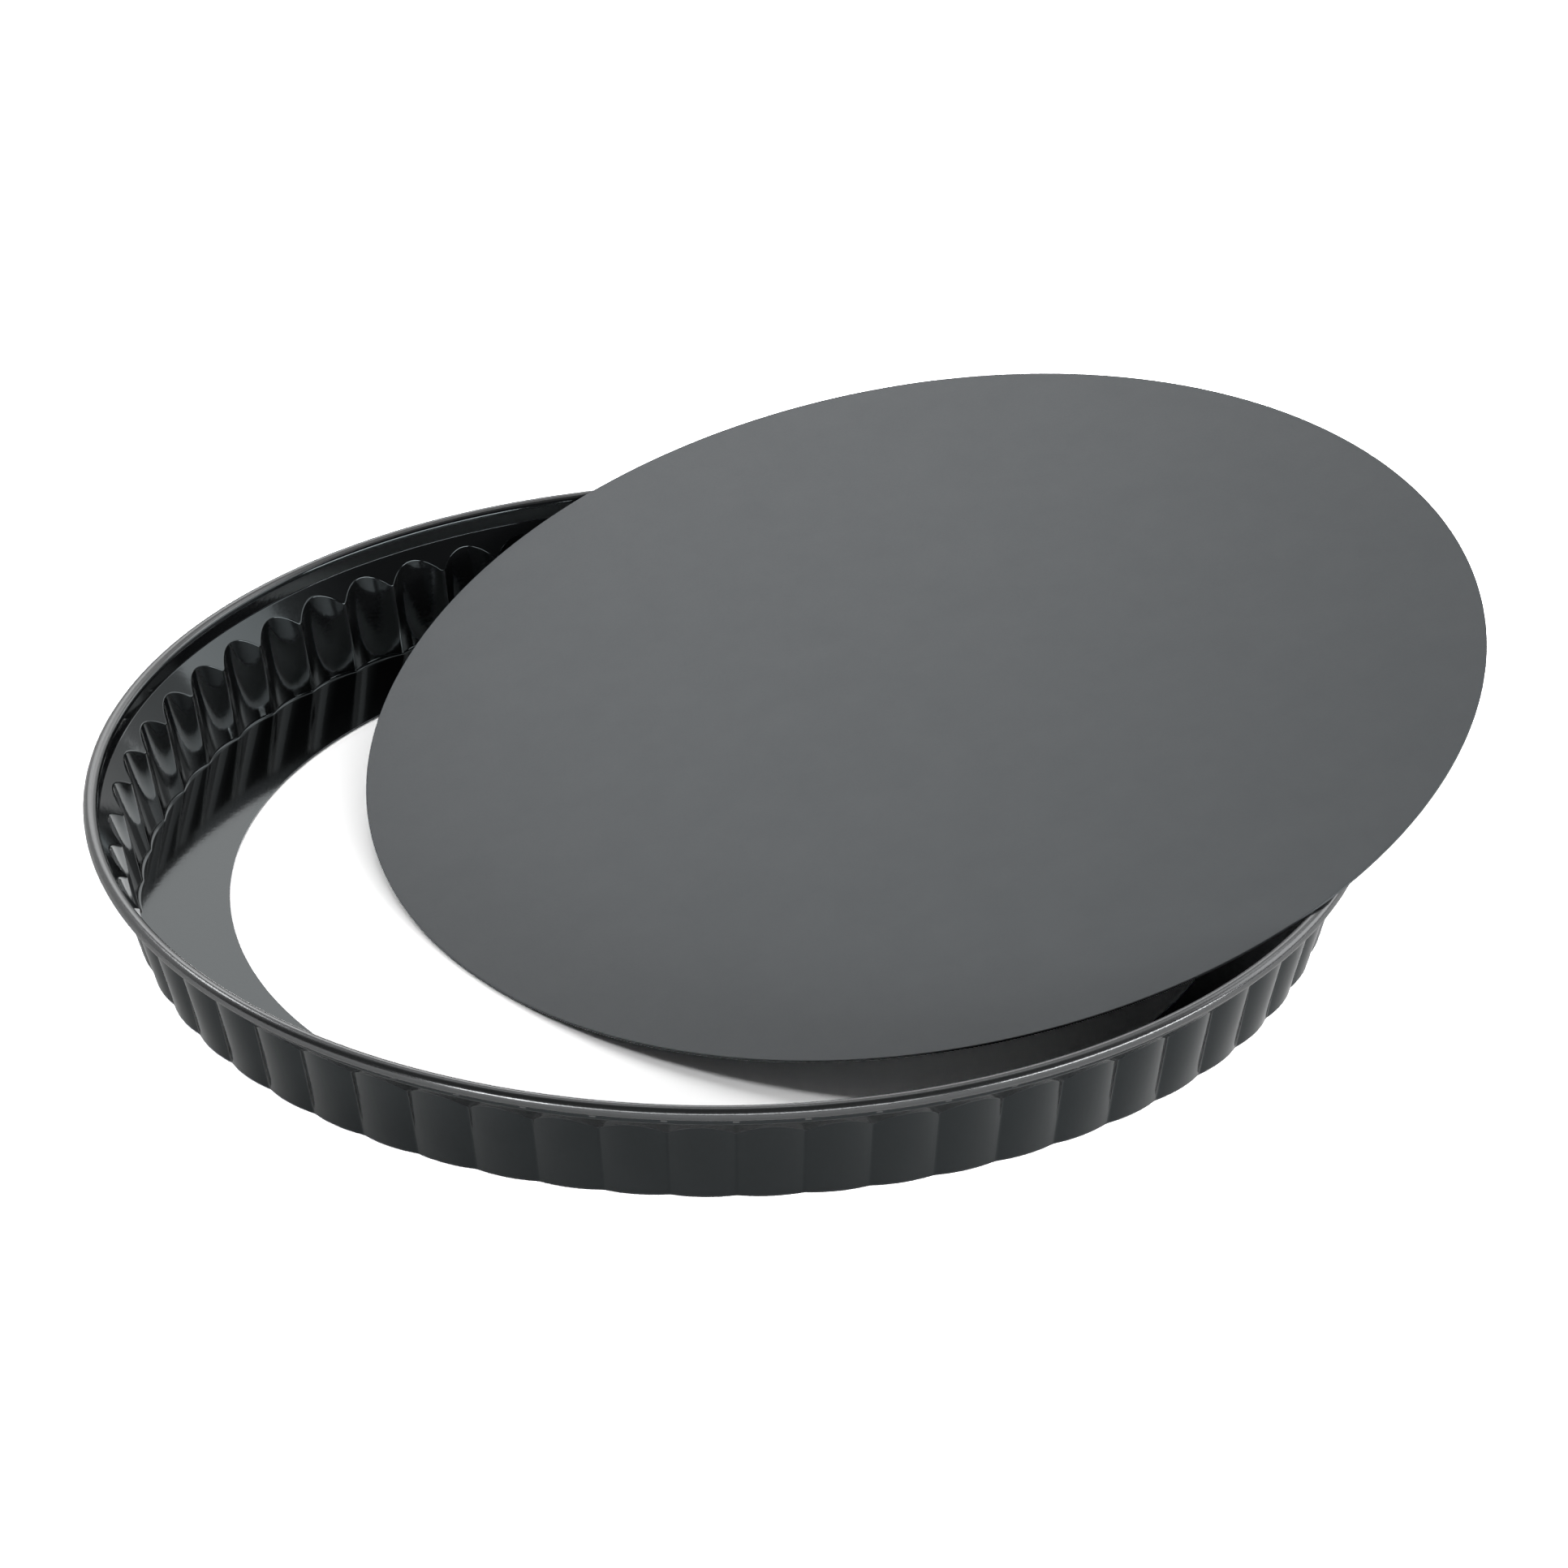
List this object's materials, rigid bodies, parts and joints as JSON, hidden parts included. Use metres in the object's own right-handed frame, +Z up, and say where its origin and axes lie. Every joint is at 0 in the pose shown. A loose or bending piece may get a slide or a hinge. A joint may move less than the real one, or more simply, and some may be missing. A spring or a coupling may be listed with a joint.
{
  "type": "loose-bottom quiche tin",
  "caption": "Round fluted quiche tin of coated sheet steel with a rolled rim, an open ledge and a loose flat base that leans in it and lifts out.",
  "frame": {"origin": "on the table, midway along the whole set: the ring stands towards -X and the raised side of the loose base towards +X", "axes": "+Z up along the ring's axis, +X the way the loose base rises as it leans"},
  "size_m": [0.328, 0.29, 0.0556],
  "materials": {
    "ring_coating": "gloss black coating inside, satin dark grey outside",
    "base_coating": "satin grey coating"
  },
  "bodies": {
    "ring": {"fluted_ring": "ring_coating"},
    "base": {"loose_base": "base_coating"}
  },
  "joints": [
    {"name": "base_lift", "type": "slide", "parent": "ring", "child": "base", "axis": [0, 0, 1], "range_m": [0, 0.08]}
  ]
}
